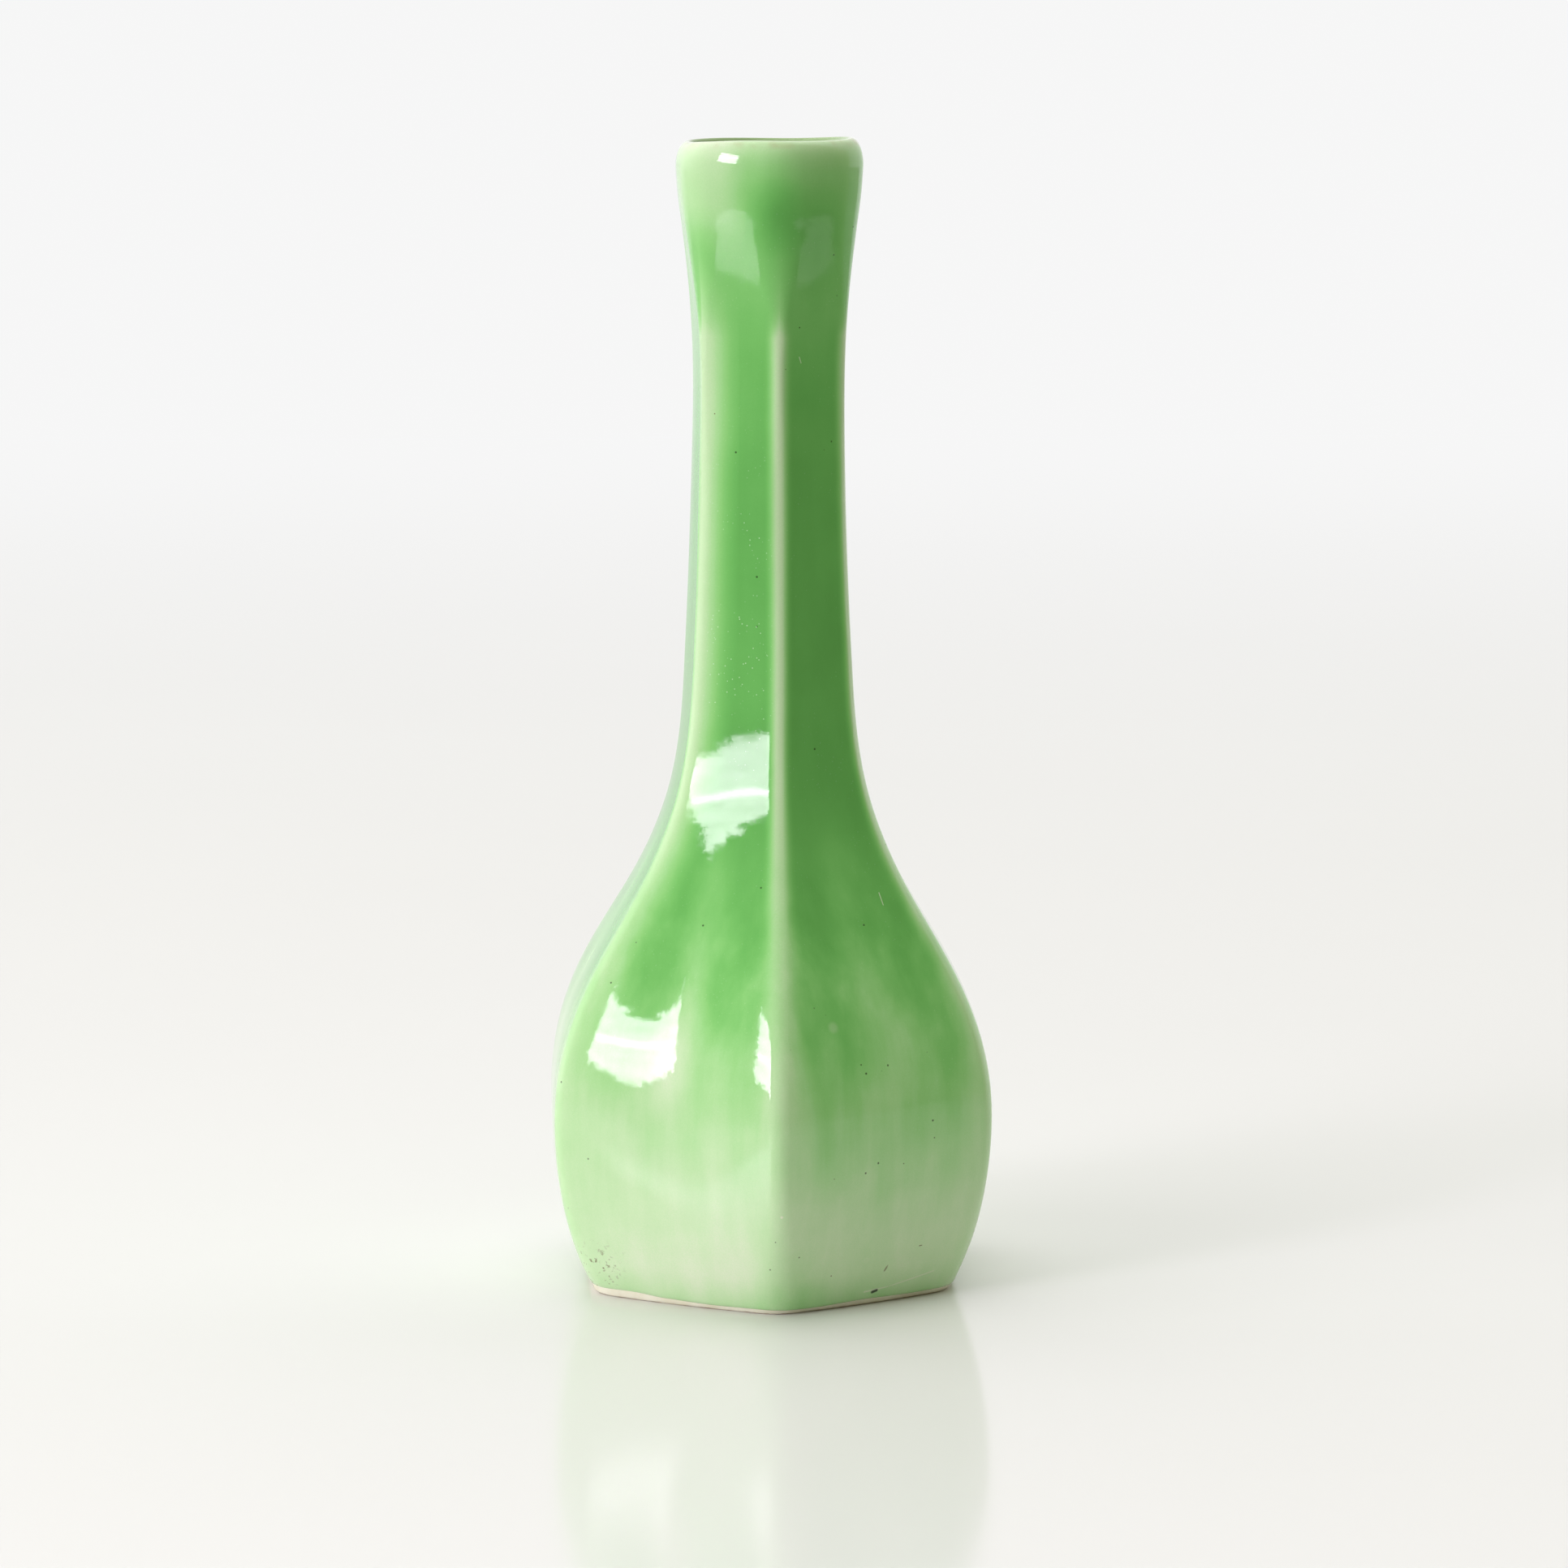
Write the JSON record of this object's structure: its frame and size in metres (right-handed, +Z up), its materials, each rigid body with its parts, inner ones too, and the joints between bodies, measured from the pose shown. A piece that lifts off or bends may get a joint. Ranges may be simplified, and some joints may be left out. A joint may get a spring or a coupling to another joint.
{
  "type": "bud vase",
  "caption": "Six-sided ceramic bud vase with a bellied base, a slim bottle neck and a flared lip, glazed inside and out.",
  "frame": {"origin": "centre of the foot, on the surface that the vase stands on", "axes": "+Z up along the neck; one ridge of the foot points along -Y"},
  "size_m": [0.0693, 0.078, 0.18],
  "materials": {
    "clay": "fired white earthenware, bare and matt at the foot ring",
    "outer_glaze": "glossy translucent green glaze, pale where it thins on the ridges and darker where it pools",
    "inner_glaze": "glossy green liner glaze",
    "foot_glaze": "thin glossy green glaze"
  },
  "bodies": {
    "root": {"clay_body": "clay", "outer_glaze": "outer_glaze", "inner_glaze": "inner_glaze", "foot_recess_glaze": "foot_glaze"}
  },
  "joints": []
}
